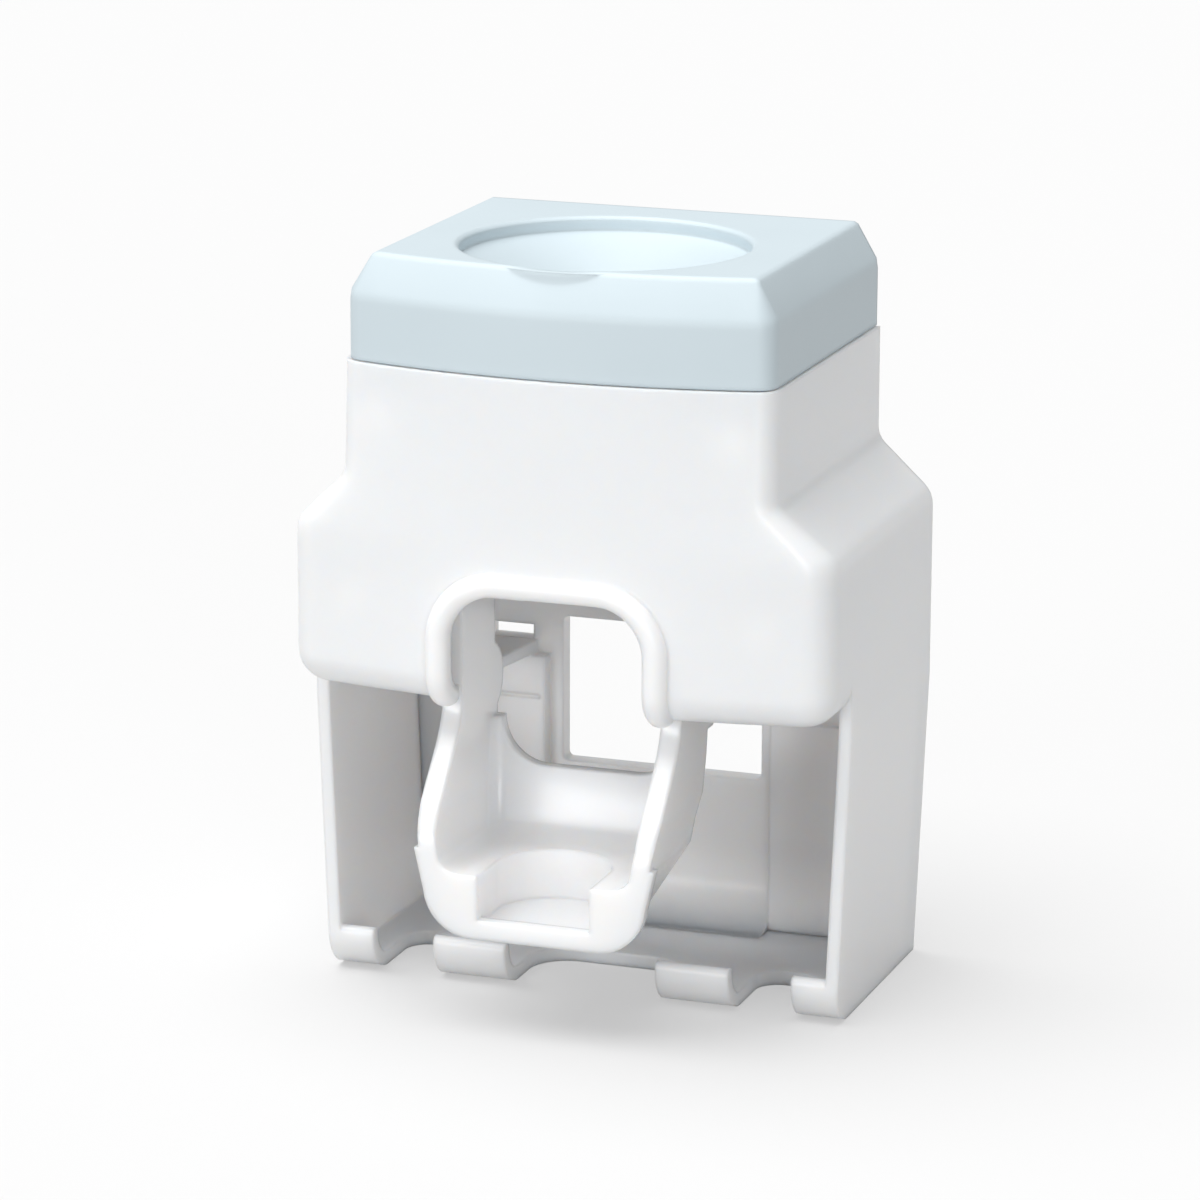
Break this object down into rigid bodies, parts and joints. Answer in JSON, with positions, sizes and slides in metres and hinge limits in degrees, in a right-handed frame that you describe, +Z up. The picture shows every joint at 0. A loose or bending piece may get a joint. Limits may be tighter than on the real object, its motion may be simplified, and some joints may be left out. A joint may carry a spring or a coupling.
{
  "type": "toothpaste dispenser",
  "caption": "Wall-mounted toothpaste dispenser with a push lever under an arched cover, a funnel lid for an upturned tube, and a toothbrush rack.",
  "frame": {"origin": "bottom centre of the bounding box, on the underside of the rack", "axes": "+X to the right as seen from the front, +Y towards the wall, +Z up"},
  "size_m": [0.096, 0.0694, 0.1295],
  "materials": {
    "white_gloss": "satin gloss",
    "white_satin": "satin",
    "lid_blue": "satin gloss",
    "silicone": "matte",
    "black_rubber": "matte",
    "steel": "bright zinc"
  },
  "bodies": {
    "base": {"housing": "white_gloss", "back_panel": "white_gloss", "pump_frame": "white_satin", "pump_barrel": "white_satin", "pump_cap": "white_satin", "barrel_gasket": "silicone", "inlet_valve": "silicone", "inlet_seal": "silicone", "seal_collar": "white_satin", "return_spring": "steel", "pivot_pins": "steel", "back_screws": "steel", "frame_screws": "steel", "pump_screws": "steel"},
    "lever": {"lever": "white_gloss"},
    "piston": {"piston": "white_satin", "piston_ring": "black_rubber", "nozzle": "white_satin", "outlet_valve": "silicone"},
    "lid": {"top_lid": "lid_blue"}
  },
  "joints": [
    {"name": "lever_swing", "type": "hinge", "parent": "base", "child": "lever", "pos_m": [0, -0.01535, 0.078], "axis": [1, 0, 0], "range_deg": [0, 20], "stiffness_Nm_per_rad": 0.05, "springref_deg": -17.19},
    {"name": "piston_lift", "type": "slide", "parent": "base", "child": "piston", "axis": [0, 0, 1], "range_m": [0, 0.0057], "deforming": ["return_spring"]},
    {"name": "lid_lift", "type": "slide", "parent": "base", "child": "lid", "axis": [0, 0, 1], "range_m": [0, 0.025]}
  ],
  "couplings": [
    {"joint": "piston_lift", "follows": "lever_swing", "m_per_rad": 0.0162}
  ]
}
